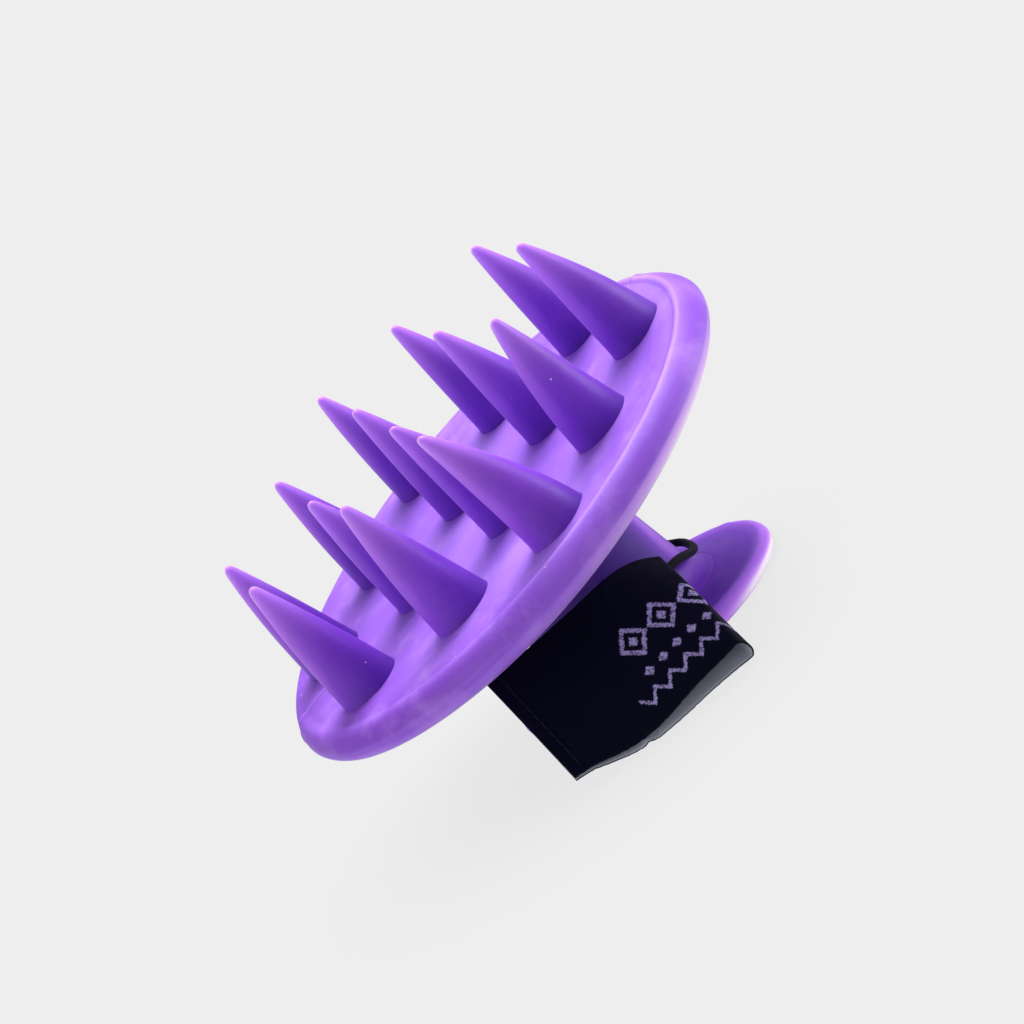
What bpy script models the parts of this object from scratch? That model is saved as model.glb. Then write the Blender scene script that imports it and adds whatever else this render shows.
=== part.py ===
"""Round massaging curry comb of soft silicone, with a swing label on an elastic cord.

Metres, +Z up. The comb stands on the flat outer face of its finger knob, teeth up.
The origin is the centre of that face. The soft neck leans, so the tooth plate and
everything on it sit in a frame of their own, tilted about the origin's vertical.
"""
import math

import bmesh
import bpy
from mathutils import Euler, Matrix, Vector

MM = 0.001
GAP = 0.3

# Lean of the neck and the plate, away from the knob's axis.
LEAN = math.radians(13.2)
LEAN_AZIMUTH = math.radians(-62.2)
PLATE_CENTRE = Vector((3.44, -7.39, 34.74))

# Tooth plate, in millimetres, in the plate's own frame: its tooth face faces +Z.
PLATE_RADIUS = 45.0
FACE_DISH = 1.68
FACE_LEVEL_RADIUS = 38.0
CREST_RADIUS = 42.3
BOSS_RADIUS = 13.6
BOSS_FACE = -15.0
SPIGOT_RADIUS = 6.0
SPIGOT_LENGTH = 3.6
PLATE_STEPS = 56

# Teeth: rows across the plate, with the number of teeth in each row.
ROW_COUNTS = (2, 3, 4, 3, 2)
ROW_PITCH = 16.05
TOOTH_PITCH = 22.9
TOOTH_HEIGHT = 22.1
TOOTH_RADIUS = 4.97
TOOTH_TIP_RADIUS = 0.55
TOOTH_BULGE = 0.06
ROOT_RADIUS = 2.6
ROOT_DEPTH = 2.6
TOOTH_STEPS = 16
ROOT_SEGMENTS = 12

# Neck, in the plate's frame, and the height at which it meets the knob's hub.
NECK_TOP_RADIUS = 12.9
NECK_TOP_STRAIGHT = 5.0
NECK_FOOT_RADIUS = 13.3
NECK_STEPS = 32
HUB_HEIGHT = 4.6
PEG_FOOT = 2.5
PEG_SEGMENTS = 24

# Finger knob, about the origin's vertical.
KNOB_RADIUS = 24.4
KNOB_LIP = 2.95
KNOB_STEPS = 48

# Elastic cord: a ring round the neck, a knot on the ring and a lead to the label.
CORD_DIAMETER = 1.35
LOOP_HEIGHT = 8.0
LOOP_RADIUS = 16.2
KNOT_RADIUS = 1.7
KNOT_LENGTH = 3.6
KNOT_ROUNDING = 0.5
KNOT_BORE_RADIUS = 1.075
KNOT_STEPS = 20
LOOP_POINTS = 40
LEAD_PIECES = 4
BEAD_RADIUS = 0.9
LEAD_RISE = 1.4
LEAD_BACKSET = 0.3
LEAD_SAG = 0.7

# Woven label: a ribbon folded in two. Its own X runs down its width, -Y along its
# length from the fold, and Z out of its front face.
LABEL_PLACE = Vector((25.0, 4.2, 15.3))
LABEL_TURN = (math.radians(-0.5), math.radians(37.9), math.radians(-5.6))
RIBBON_THICKNESS = 0.4
RIBBON_COLUMNS = 6
BEAD_IN_LABEL = Vector((6.0, -2.9, -1.55))
SLIT_SIZE = (5.2, 5.0, 3.0)
SLIT_CENTRE = (5.7, -3.2, -2.9)
THREAD_DIAMETER = 0.35
SEAM_PLACE = 9.4
SEAM_MARGIN = 0.03
SEAM_POINTS = 9

# The two selvages of the label's front face, at even steps from the fold to the free
# end, and the label's whole depth under each of them.
UPPER_SELVAGE = (
    (-1.48, -0.27, -2.75), (-2.14, -2.88, -1.04), (-2.24, -5.82, 0.16), (-2.06, -8.94, 0.76),
    (-1.85, -12.1, 0.92), (-1.82, -15.25, 0.73), (-2.14, -18.35, 0.2), (-2.69, -21.41, -0.62),
    (-3.32, -24.53, -1.39), (-3.81, -27.79, -1.92), (-4.11, -31.12, -2.24),
)
LOWER_SELVAGE = (
    (22.01, -0.73, 2.91), (22.05, -3.7, 2.2), (22.1, -6.7, 1.68), (22.23, -9.73, 1.27),
    (22.51, -12.75, 0.87), (22.73, -15.82, 0.57), (22.51, -18.99, 0.32), (21.8, -21.83, 0.07),
    (20.99, -24.58, 0.25), (20.35, -27.32, 0.67), (20.11, -30.13, 0.97),
)
LABEL_DEPTHS = (
    (3.2, 4.2), (3.2, 3.7), (3.0, 3.25), (2.5, 2.8), (2.2, 2.3), (1.9, 1.8),
    (1.6, 1.7), (1.4, 1.6), (1.2, 1.4), (1.1, 1.2), (1.1, 1.1),
)
LABEL_CROWN = 0.3
FOLD_START = 0.39
FOLD_REACH = 1.2
FOLD_POINTS = 6

# How far a cutter runs past the surface that it opens, and a column past its end.
OVERSHOOT = 1.0
COLUMN_OVERRUN = 6.0

SILICONE_LIGHT = (0.36, 0.17, 0.84, 1.0)
SILICONE_DEEP = (0.17, 0.05, 0.50, 1.0)
NAVY = (0.004, 0.006, 0.020, 1.0)
THREAD_NAVY = (0.012, 0.014, 0.035, 1.0)


def clear_scene():
    for obj in list(bpy.data.objects):
        bpy.data.objects.remove(obj, do_unlink=True)


def new_collection(name):
    collection = bpy.data.collections.new(name)
    bpy.context.scene.collection.children.link(collection)
    return collection


def plain_material(name, colour, roughness):
    material = bpy.data.materials.new(name)
    material.use_nodes = True
    shader = material.node_tree.nodes["Principled BSDF"]
    shader.inputs["Base Color"].default_value = colour
    shader.inputs["Roughness"].default_value = roughness
    shader.inputs["Metallic"].default_value = 0.0
    return material


def add_object(name, mesh, collection, material=None, parent=None):
    obj = bpy.data.objects.new(name, mesh)
    collection.objects.link(obj)
    if material is not None:
        obj.data.materials.append(material)
    obj.parent = parent
    return obj


def add_empty(name, place, turn, collection, parent=None):
    empty = bpy.data.objects.new(name, None)
    collection.objects.link(empty)
    empty.location = place
    empty.rotation_euler = turn
    empty.parent = parent
    return empty


def profile_mesh(name, profile, closed=False):
    """A chain of edges through (radius, height) points in millimetres, in the XZ plane."""
    mesh = bmesh.new()
    verts = [mesh.verts.new((r * MM, 0.0, z * MM)) for r, z in profile]
    for a, b in zip(verts, verts[1:]):
        mesh.edges.new((a, b))
    if closed:
        mesh.edges.new((verts[-1], verts[0]))
    data = bpy.data.meshes.new(name)
    mesh.to_mesh(data)
    mesh.free()
    return data


def add_turning(obj, steps):
    screw = obj.modifiers.new("turning", "SCREW")
    screw.axis = "Z"
    screw.angle = math.tau
    screw.steps = steps
    screw.render_steps = steps
    screw.use_merge_vertices = True
    screw.merge_threshold = 0.00001
    screw.use_smooth_shade = True


def add_cut(obj, cutter, operation="DIFFERENCE"):
    cut = obj.modifiers.new(operation.lower(), "BOOLEAN")
    cut.operation = operation
    cut.object = cutter
    cut.solver = "EXACT"


def as_cutter(obj):
    obj.hide_render = True
    obj.display_type = "WIRE"
    return obj


def cylinder_mesh(name, radius, low, high, segments):
    """A capped cylinder about Z from height low to height high, in millimetres."""
    mesh = bmesh.new()
    middle = Matrix.Translation((0.0, 0.0, (low + high) / 2 * MM))
    bmesh.ops.create_cone(
        mesh,
        cap_ends=True,
        segments=segments,
        radius1=radius * MM,
        radius2=radius * MM,
        depth=(high - low) * MM,
        matrix=middle,
    )
    data = bpy.data.meshes.new(name)
    mesh.to_mesh(data)
    mesh.free()
    return data


def box_mesh(name, size, centre):
    """A box of the given size about a centre, in millimetres."""
    mesh = bmesh.new()
    place = Matrix.Translation(Vector(centre) * MM)
    scale = Matrix.Diagonal((size[0] * MM, size[1] * MM, size[2] * MM, 1.0))
    bmesh.ops.create_cube(mesh, size=1.0, matrix=place @ scale)
    data = bpy.data.meshes.new(name)
    mesh.to_mesh(data)
    mesh.free()
    return data


def face_height(radius):
    """Height of the dished tooth face at a distance from the plate's axis."""
    return -FACE_DISH * (1.0 - (radius / FACE_LEVEL_RADIUS) ** 2)


def lean_turn():
    """Rotation of the plate's frame: a tilt towards LEAN_AZIMUTH with no twist."""
    swing = Matrix.Rotation(LEAN_AZIMUTH, 3, "Z")
    return (swing @ Matrix.Rotation(LEAN, 3, "Y") @ swing.transposed()).to_euler()


def tooth_places():
    """Row number, place in the row and (x, y) of every tooth, from the +Y row down."""
    middle_row = (len(ROW_COUNTS) - 1) / 2
    for row, count in enumerate(ROW_COUNTS):
        y = (middle_row - row) * ROW_PITCH
        for index in range(count):
            x = (index - (count - 1) / 2) * TOOTH_PITCH
            yield row, index, x, y


def tooth_turn(x, y):
    """Rotation that stands a tooth square to the dished face at (x, y)."""
    slope = 2.0 * FACE_DISH / FACE_LEVEL_RADIUS ** 2
    normal = Vector((-slope * x, -slope * y, 1.0)).normalized()
    return Vector((0.0, 0.0, 1.0)).rotation_difference(normal).to_euler()


def tooth_profile():
    """Tip to root: a rounded tip, a slightly full cone, a flat foot and a root peg."""
    points = [(0.0, TOOTH_HEIGHT), (TOOTH_TIP_RADIUS * 0.7, TOOTH_HEIGHT - 0.2)]
    for part in (0.04, 0.15, 0.35, 0.6, 0.82, 1.0):
        cone = TOOTH_TIP_RADIUS + (TOOTH_RADIUS - TOOTH_TIP_RADIUS) * part
        full = TOOTH_RADIUS * TOOTH_BULGE * 4.0 * part * (1.0 - part)
        points.append((cone + full, TOOTH_HEIGHT - (TOOTH_HEIGHT - GAP) * part))
    points += [(ROOT_RADIUS, GAP), (ROOT_RADIUS, -ROOT_DEPTH), (0.0, -ROOT_DEPTH)]
    return points


def plate_profile():
    """Dished face, rounded rim, conical back, boss face and the neck's blind socket."""
    face = [(r, face_height(r)) for r in (0.0, 12.0, 24.0, 33.0, FACE_LEVEL_RADIUS, 41.0)]
    rim = [(CREST_RADIUS, 0.3), (43.6, -0.1), (44.5, -0.8), (PLATE_RADIUS, -1.9)]
    back = [(44.8, -3.0), (43.6, -4.4), (41.2, -5.9), (37.5, -7.1), (33.0, -7.9)]
    cone = [(28.0, -8.7), (22.0, -10.1), (17.0, -12.4)]
    socket_radius = SPIGOT_RADIUS + GAP
    socket_floor = BOSS_FACE + SPIGOT_LENGTH + GAP
    boss = [(BOSS_RADIUS, BOSS_FACE), (socket_radius, BOSS_FACE)]
    return face + rim + back + cone + boss + [(socket_radius, socket_floor), (0.0, socket_floor)]


def root_sockets():
    """A blind round hole for the root of every tooth, square to the dished face."""
    bottom = -(ROOT_DEPTH + GAP)
    sockets = bmesh.new()
    for _, _, x, y in tooth_places():
        place = Matrix.Translation(Vector((x, y, face_height(math.hypot(x, y)))) * MM)
        turn = tooth_turn(x, y).to_matrix().to_4x4()
        middle = Matrix.Translation((0.0, 0.0, (OVERSHOOT + bottom) / 2 * MM))
        bmesh.ops.create_cone(
            sockets,
            cap_ends=True,
            segments=ROOT_SEGMENTS,
            radius1=(ROOT_RADIUS + GAP) * MM,
            radius2=(ROOT_RADIUS + GAP) * MM,
            depth=(OVERSHOOT - bottom) * MM,
            matrix=place @ turn @ middle,
        )
    data = bpy.data.meshes.new("root_sockets")
    sockets.to_mesh(data)
    sockets.free()
    return data


def make_plate(frame, parts, cutters, material):
    plate = add_object("tooth_plate", profile_mesh("tooth_plate", plate_profile()), parts, material, frame)
    add_turning(plate, PLATE_STEPS)
    add_cut(plate, as_cutter(add_object("root_sockets", root_sockets(), cutters, None, frame)))
    return plate


def make_teeth(frame, parts, material):
    data = profile_mesh("tooth", tooth_profile())
    data.materials.append(material)
    for row, index, x, y in tooth_places():
        tooth = add_object(f"tooth_{row + 1}_{index + 1}", data, parts, None, frame)
        tooth.location = Vector((x, y, face_height(math.hypot(x, y)))) * MM
        tooth.rotation_euler = tooth_turn(x, y)
        add_turning(tooth, TOOTH_STEPS)


def neck_axis_at(height):
    """Where the neck's leaning axis crosses a height above the knob's face."""
    run = (height - PLATE_CENTRE.z) * math.tan(LEAN)
    x = PLATE_CENTRE.x + run * math.cos(LEAN_AZIMUTH)
    y = PLATE_CENTRE.y + run * math.sin(LEAN_AZIMUTH)
    return Vector((x, y, height))


def make_neck(frame, parts, cutters, material):
    """A leaning column: a spigot up into the plate, a level foot and a peg in the knob."""
    top = BOSS_FACE - GAP
    reach = (PLATE_CENTRE.z - HUB_HEIGHT) / math.cos(LEAN) + COLUMN_OVERRUN
    profile = [(0.0, top + SPIGOT_LENGTH), (SPIGOT_RADIUS, top + SPIGOT_LENGTH)]
    profile += [(SPIGOT_RADIUS, top), (NECK_TOP_RADIUS, top)]
    profile += [(NECK_TOP_RADIUS, top - NECK_TOP_STRAIGHT)]
    profile += [(NECK_FOOT_RADIUS, -reach), (0.0, -reach)]
    neck = add_object("handle_neck", profile_mesh("handle_neck", profile), parts, material, frame)
    add_turning(neck, NECK_STEPS)
    foot = HUB_HEIGHT + GAP
    below_depth = 2.0 * COLUMN_OVERRUN + HUB_HEIGHT
    size = (2.0 * KNOB_RADIUS, 2.0 * KNOB_RADIUS, below_depth)
    below = box_mesh("below_neck", size, (0.0, 0.0, foot - below_depth / 2))
    add_cut(neck, as_cutter(add_object("below_neck", below, cutters)))
    centre = neck_axis_at(foot)
    peg = cylinder_mesh("neck_peg", SPIGOT_RADIUS, PEG_FOOT, foot + OVERSHOOT, PEG_SEGMENTS)
    peg_cutter = as_cutter(add_object("neck_peg", peg, cutters))
    peg_cutter.location = Vector((centre.x, centre.y, 0.0)) * MM
    add_cut(neck, peg_cutter, "UNION")
    return neck


def knob_profile():
    """Hub, shallow dish, rounded lip and rim, then the flat outer face."""
    hub = [(0.0, HUB_HEIGHT), (15.1, HUB_HEIGHT), (15.9, 4.0), (17.4, 3.3), (19.8, 2.75)]
    lip = [(21.8, 2.75), (22.9, KNOB_LIP), (23.7, 2.75), (24.2, 2.2), (KNOB_RADIUS, 1.5)]
    return hub + lip + [(24.1, 0.7), (23.4, 0.15), (22.6, 0.0), (0.0, 0.0)]


def make_knob(parts, cutters, material):
    knob = add_object("finger_knob", profile_mesh("finger_knob", knob_profile()), parts, material)
    add_turning(knob, KNOB_STEPS)
    low = PEG_FOOT - GAP
    high = HUB_HEIGHT + OVERSHOOT
    socket = cylinder_mesh("peg_socket", SPIGOT_RADIUS + GAP, low, high, PEG_SEGMENTS)
    cutter = as_cutter(add_object("peg_socket", socket, cutters))
    centre = neck_axis_at(HUB_HEIGHT + GAP)
    cutter.location = Vector((centre.x, centre.y, 0.0)) * MM
    add_cut(knob, cutter)
    return knob


def tube(name, points, diameter, closed, parts, material, parent=None):
    """A round cord through the points, in millimetres."""
    curve = bpy.data.curves.new(name, "CURVE")
    curve.dimensions = "3D"
    curve.bevel_depth = diameter / 2 * MM
    curve.bevel_resolution = 2
    curve.use_fill_caps = not closed
    spline = curve.splines.new("POLY")
    spline.points.add(len(points) - 1)
    for point, place in zip(spline.points, points):
        point.co = (*(Vector(place) * MM), 1.0)
    spline.use_cyclic_u = closed
    spline.use_smooth = True
    return add_object(name, curve, parts, material, parent)


def smooth_route(knots, pieces):
    """Points on a Catmull-Rom curve through the hand-chosen knots."""
    ends = [knots[0] * 2 - knots[1]] + list(knots) + [knots[-1] * 2 - knots[-2]]
    route = []
    for a, b, c, d in zip(ends, ends[1:], ends[2:], ends[3:]):
        for step in range(pieces):
            t = step / pieces
            line = 2 * b + (c - a) * t + (2 * a - 5 * b + 4 * c - d) * t ** 2
            route.append((line + (3 * b - a - 3 * c + d) * t ** 3) / 2)
    return route + [knots[-1]]


def make_loop(pivot, parts, material):
    """The level ring of cord round the neck, centred on the axis that it turns about."""
    ring = []
    for step in range(LOOP_POINTS):
        angle = math.tau * step / LOOP_POINTS
        ring.append((LOOP_RADIUS * math.cos(angle), LOOP_RADIUS * math.sin(angle), 0.0))
    return tube("cord_loop", ring, CORD_DIAMETER, True, parts, material, pivot)


def bead_place():
    """Centre of the bead inside the label's fold."""
    return LABEL_PLACE + Euler(LABEL_TURN).to_matrix() @ BEAD_IN_LABEL


def make_knot(pivot, knot_angle, parts, material):
    """A barrel of wraps round the ring, where the lead leaves it."""
    half = KNOT_LENGTH / 2
    waist = half - KNOT_ROUNDING
    end_radius = KNOT_RADIUS - KNOT_ROUNDING
    outer = [(end_radius, half), (KNOT_RADIUS, waist), (KNOT_RADIUS, -waist), (end_radius, -half)]
    inner = [(KNOT_BORE_RADIUS, -half), (KNOT_BORE_RADIUS, half)]
    knot = add_object("cord_knot", profile_mesh("cord_knot", outer + inner, True), parts, material, pivot)
    add_turning(knot, KNOT_STEPS)
    knot.location = Vector((math.cos(knot_angle), math.sin(knot_angle), 0.0)) * LOOP_RADIUS * MM
    knot.rotation_euler = (math.pi / 2, 0.0, knot_angle)
    return knot


def make_lead(pivot, knot_angle, centre, parts, material):
    """The doubled cord from the knot, under the label and up through its slit."""
    out = Vector((math.cos(knot_angle), math.sin(knot_angle), 0.0))
    bead = bead_place() - centre
    up = Euler(LABEL_TURN).to_matrix() @ Vector((0.0, 0.0, 1.0))
    start = out * (LOOP_RADIUS + KNOT_RADIUS + GAP)
    end = bead - up * (BEAD_RADIUS + GAP)
    bend = end - up * LEAD_RISE - out * LEAD_BACKSET
    middle = start.lerp(bend, 0.5) - Vector((0.0, 0.0, LEAD_SAG))
    route = smooth_route([start, middle, bend, end], LEAD_PIECES)
    tube("cord_lead", route, CORD_DIAMETER, False, parts, material, pivot)


def make_bead(swing, parts, material):
    sphere = bmesh.new()
    bmesh.ops.create_uvsphere(sphere, u_segments=12, v_segments=8, radius=BEAD_RADIUS * MM)
    data = bpy.data.meshes.new("cord_end_bead")
    sphere.to_mesh(data)
    sphere.free()
    return add_object("cord_end_bead", data, parts, material, swing)


def between(values, place):
    """A vector part way along a list; place counts its entries from the first."""
    step = min(int(place), len(values) - 2)
    return Vector(values[step]).lerp(Vector(values[step + 1]), place - step)


def label_axes(share, place):
    """Point of the front face, direction to the fold, outward normal and label depth."""
    last = len(UPPER_SELVAGE) - 1
    upper = between(UPPER_SELVAGE, place)
    lower = between(LOWER_SELVAGE, place)
    near = max(place - 1.0, 0.0)
    far = min(place + 1.0, last)
    upper_run = between(UPPER_SELVAGE, near) - between(UPPER_SELVAGE, far)
    lower_run = between(LOWER_SELVAGE, near) - between(LOWER_SELVAGE, far)
    ahead = upper_run.lerp(lower_run, share).normalized()
    normal = (lower - upper).cross(ahead).normalized()
    crown = LABEL_CROWN * 4.0 * share * (1.0 - share)
    upper_depth, lower_depth = between(LABEL_DEPTHS, place)
    depth = upper_depth + (lower_depth - upper_depth) * share
    return upper.lerp(lower, share) + normal * crown, ahead, normal, depth


def ribbon_line(share):
    """Middle line of the folded ribbon at a share of its width, from its free end."""
    half = RIBBON_THICKNESS / 2
    places = [FOLD_START] + [float(step) for step in range(1, len(UPPER_SELVAGE))]
    front = []
    back = []
    for place in places:
        point, _, normal, depth = label_axes(share, place)
        front.append(point - normal * half)
        back.append(point - normal * (depth - half))
    _, ahead, normal, depth = label_axes(share, FOLD_START)
    radius = (depth - RIBBON_THICKNESS) / 2
    fold = []
    for step in range(1, FOLD_POINTS):
        angle = math.pi * step / FOLD_POINTS
        reach = ahead * FOLD_REACH * math.sin(angle)
        fold.append(front[0] + reach - normal * radius * (1.0 - math.cos(angle)))
    return front[::-1] + fold + back


def make_ribbon(swing, parts, cutters, material):
    sheet = bmesh.new()
    columns = []
    for column in range(RIBBON_COLUMNS + 1):
        line = ribbon_line(column / RIBBON_COLUMNS)
        columns.append([sheet.verts.new(point * MM) for point in line])
    for left, right in zip(columns, columns[1:]):
        for a, b, c, d in zip(left, left[1:], right[1:], right):
            sheet.faces.new((a, b, c))
            sheet.faces.new((a, c, d))
    data = bpy.data.meshes.new("label_ribbon")
    sheet.to_mesh(data)
    sheet.free()
    ribbon = add_object("label_ribbon", data, parts, material, swing)
    solid = ribbon.modifiers.new("cloth", "SOLIDIFY")
    solid.thickness = RIBBON_THICKNESS * MM
    solid.offset = 0.0
    slit = box_mesh("label_slit", SLIT_SIZE, SLIT_CENTRE)
    add_cut(ribbon, as_cutter(add_object("label_slit", slit, cutters, None, swing)))
    return ribbon


def make_seam(swing, parts, material):
    """The thread of the end seam, across the front face near the free end."""
    lift = GAP + THREAD_DIAMETER / 2
    route = []
    for step in range(SEAM_POINTS):
        share = SEAM_MARGIN + (1.0 - 2.0 * SEAM_MARGIN) * step / (SEAM_POINTS - 1)
        point, _, normal, _ = label_axes(share, SEAM_PLACE)
        route.append(point + normal * lift)
    return tube("label_seam", route, THREAD_DIAMETER, False, parts, material, swing)


def hang_label(pivot, centre, parts, cutters, elastic, cloth, thread):
    """The bead at the end of the lead, and the label that flaps about it."""
    swing = add_empty("label_swing_axis", (bead_place() - centre) * MM, (0.0, 0.0, 0.0), parts, pivot)
    flap = add_empty("label_flap_axis", (0.0, 0.0, 0.0), LABEL_TURN, parts, swing)
    sheet = add_empty("label_frame", -BEAD_IN_LABEL * MM, (0.0, 0.0, 0.0), parts, flap)
    make_bead(swing, parts, elastic)
    make_ribbon(sheet, parts, cutters, cloth)
    make_seam(sheet, parts, thread)


def main():
    clear_scene()
    parts = new_collection("curry_comb")
    cutters = new_collection("cutters")
    light = plain_material("silicone_light", SILICONE_LIGHT, 0.42)
    deep = plain_material("silicone_deep", SILICONE_DEEP, 0.45)
    cloth = plain_material("woven_satin", NAVY, 0.6)
    elastic = plain_material("elastic_cord", NAVY, 0.75)
    thread = plain_material("thread", THREAD_NAVY, 0.8)

    frame = add_empty("plate_frame", PLATE_CENTRE * MM, lean_turn(), parts)
    make_plate(frame, parts, cutters, light)
    make_teeth(frame, parts, deep)
    make_neck(frame, parts, cutters, deep)
    make_knob(parts, cutters, deep)

    centre = neck_axis_at(LOOP_HEIGHT)
    bead = bead_place()
    knot_angle = math.atan2(bead.y - centre.y, bead.x - centre.x)
    pivot = add_empty("loop_axis", centre * MM, (0.0, 0.0, 0.0), parts)
    make_loop(pivot, parts, elastic)
    make_knot(pivot, knot_angle, parts, elastic)
    make_lead(pivot, knot_angle, centre, parts, elastic)
    hang_label(pivot, centre, parts, cutters, elastic, cloth, thread)


main()
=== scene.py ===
"""Looks of the round massaging curry comb: silicone, elastic cord and woven label.

Row frame, metres, +Z up. The comb stands on its knob with its teeth up.
Shapes are written in millimetres and scaled by MM where a mesh is made.
"""
import math

import bmesh
import bpy
from mathutils import Euler, Matrix, Vector, noise

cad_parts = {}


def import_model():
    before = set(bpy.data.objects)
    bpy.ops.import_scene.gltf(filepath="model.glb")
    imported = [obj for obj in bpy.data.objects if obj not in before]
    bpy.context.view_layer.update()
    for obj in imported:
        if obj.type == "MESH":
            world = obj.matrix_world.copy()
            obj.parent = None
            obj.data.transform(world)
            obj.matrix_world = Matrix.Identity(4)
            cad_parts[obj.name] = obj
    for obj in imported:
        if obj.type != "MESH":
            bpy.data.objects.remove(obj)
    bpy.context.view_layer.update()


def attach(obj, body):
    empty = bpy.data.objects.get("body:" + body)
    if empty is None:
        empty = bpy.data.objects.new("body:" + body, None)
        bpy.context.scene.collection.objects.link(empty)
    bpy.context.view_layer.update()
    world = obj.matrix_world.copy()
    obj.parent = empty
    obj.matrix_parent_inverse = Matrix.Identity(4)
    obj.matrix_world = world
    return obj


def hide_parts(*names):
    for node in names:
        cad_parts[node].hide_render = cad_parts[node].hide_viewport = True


MM = 0.001

# Camera: its place, the directions of its picture's right and bottom, and its lens.
CAMERA_PLACE = Vector((0.266314, -0.048592, 0.078322))
CAMERA_RIGHT = Vector((0.238944, 0.736561, -0.632759))
CAMERA_DOWN = Vector((0.030438, -0.656996, -0.753280))
CAMERA_LENS = 62.992

# The plate's own frame: its tooth face faces +Z.
LEAN = math.radians(13.2)
LEAN_AZIMUTH = math.radians(-62.2)
PLATE_CENTRE = Vector((3.44, -7.39, 34.74))

# Tooth plate. The profiles run from the middle of the face round the rim to the middle
# of the back, as (radius, height) in the plate's frame.
FACE_DISH = 1.68
FACE_LEVEL_RADIUS = 38.0
FACE_RADII = (0.0, 4.0, 9.0, 14.0, 19.0, 24.0, 29.0, 33.5, 36.1, 36.9, 39.2)
LIP_PROFILE = (
    (40.4, 0.12), (41.0, 0.10), (41.3, 0.16), (41.7, 0.38), (42.1, 0.48), (42.5, 0.40), (43.0, 0.12),
)
RIM_PROFILE = (
    (43.9, -0.65), (44.6, -1.6), (45.0, -2.6), (44.8, -3.5), (43.9, -4.6), (41.2, -6.0), (37.5, -7.2),
)
BACK_PROFILE = (
    (33.0, -8.0), (28.0, -8.8), (22.0, -10.2), (17.0, -12.4), (14.4, -14.4), (13.2, -15.6),
    (6.0, -15.6), (0.0, -15.6),
)
BOSS_FACE = -15.0
RIM_RADIUS = 45.0
LIP_RADIUS = 42.1
LIP_AZIMUTH = math.radians(40.0)
LIP_LOSS = 0.42
STEP_RADIUS = 36.6
STEP_RISE = 0.12
RIDGE_HEIGHT = 0.22
RIDGE_WIDTH = 0.35
RIDGE_PLACE = -4.1
RIDGE_START = 33.0
NIB_HEIGHT = 0.2
NIB_WIDTH = 0.5
FACE_SAG = 0.10
# Where the back edge's painted glow is strongest, and its spread, in degrees.
GLOW_AZIMUTH = 33.0
GLOW_SPREAD = 27.0

# Teeth, and how far each tip stands from square over its foot, row by row.
ROW_PITCH = 16.05
TOOTH_PITCH = 22.9
TOOTH_HEIGHT = 22.1
TOOTH_RADIUS = 4.97
TIP_RADIUS = 0.68
TOOTH_BULGE = 0.075
TOOTH_BEND = 1.7
TIP_OFFSETS = (
    ((-0.1, -1.3), (0.5, -2.0)),
    ((-2.2, -0.7), (-0.9, -1.1), (2.2, 0.8)),
    ((-0.5, -0.1), (-1.6, -0.4), (2.0, -1.8), (-0.5, -2.8)),
    ((0.3, 0.0), (1.8, -0.4), (-1.1, 0.8)),
    ((-0.1, 0.9), (-1.6, 0.8)),
)

# Neck: (share of the way down, radius), then (drop below its foot, radius) inside the knob.
NECK_STEPS = (
    (0.0, 14.6), (0.03, 13.7), (0.07, 13.15), (0.13, 12.9), (0.3, 12.92), (0.5, 13.0),
    (0.7, 13.1), (0.84, 13.3), (0.91, 13.5), (0.96, 13.9), (1.0, 14.5),
)
NECK_FOOT = ((0.3, 15.2), (0.58, 16.1), (0.85, 16.9))
NECK_OVERLAP = 0.2
# Where the neck's painted highlight runs, and its spread, in degrees.
NECK_HIGHLIGHT_AZIMUTH = 60.0
NECK_HIGHLIGHT_SPREAD = 17.0

# Knob: (radius, height) from the middle of its dish round the lip to the middle of its foot.
HUB_HEIGHT = 4.6
HUB_PROFILE = (
    (0.0, 3.7), (12.0, 3.75), (14.6, 3.8), (15.6, 3.68), (16.8, 3.45), (18.2, 3.12), (19.8, 2.8),
)
KNOB_LIP = ((21.2, 2.66), (22.2, 2.75), (23.0, 2.95), (23.6, 2.82), (24.1, 2.35), (24.4, 1.6))
KNOB_FOOT = ((24.25, 0.85), (23.6, 0.22), (22.6, 0.02), (18.0, 0.0), (8.0, 0.0), (0.0, 0.0))
PIP_PLACE = Vector((-7.0, 22.9, 0.0))
PIP_HEIGHT = 0.45
PIP_RADIUS = 0.6
KNOB_WAVE = 0.10
# Where the knob's painted glow is strongest, and its spread, in degrees.
KNOB_GLOW_AZIMUTH = 48.0
KNOB_GLOW_SPREAD = 26.0

# Cord: its ring round the neck, as (azimuth, radius, height) knots.
CORD_DIAMETER = 1.35
BRAID_STRANDS = 6
BRAID_PITCH = 2.6
RING_CENTRE = Vector((0.515, -1.842, 0.0))
RING_KNOTS = (
    (6, 16.9, 9.7), (32, 16.4, 9.8), (62, 15.4, 7.4), (92, 15.7, 6.3), (110, 16.1, 6.8), (140, 15.9, 8.2),
    (180, 15.7, 9.0), (225, 15.8, 8.2), (275, 16.0, 7.2), (320, 16.3, 8.6), (356, 16.9, 9.9),
)
LEAD_MIDDLE = Vector((22.5, -0.2, 8.4))
LEAD_END = Vector((18.6, -0.4, 9.2))
KNOT_PLACE = Vector((17.4, -0.5, 9.6))
KNOT_AXIS = Vector((1.0, 0.1, -0.1))
WRAP_STEPS = 26
KNOT_RADIUS = 0.75
KNOT_TURNS = 3
BEAD_RADIUS = 0.35
BEAD_TURNS = 2
BEAD_AXIS = Vector((0.0, 1.0, 0.0))

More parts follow.
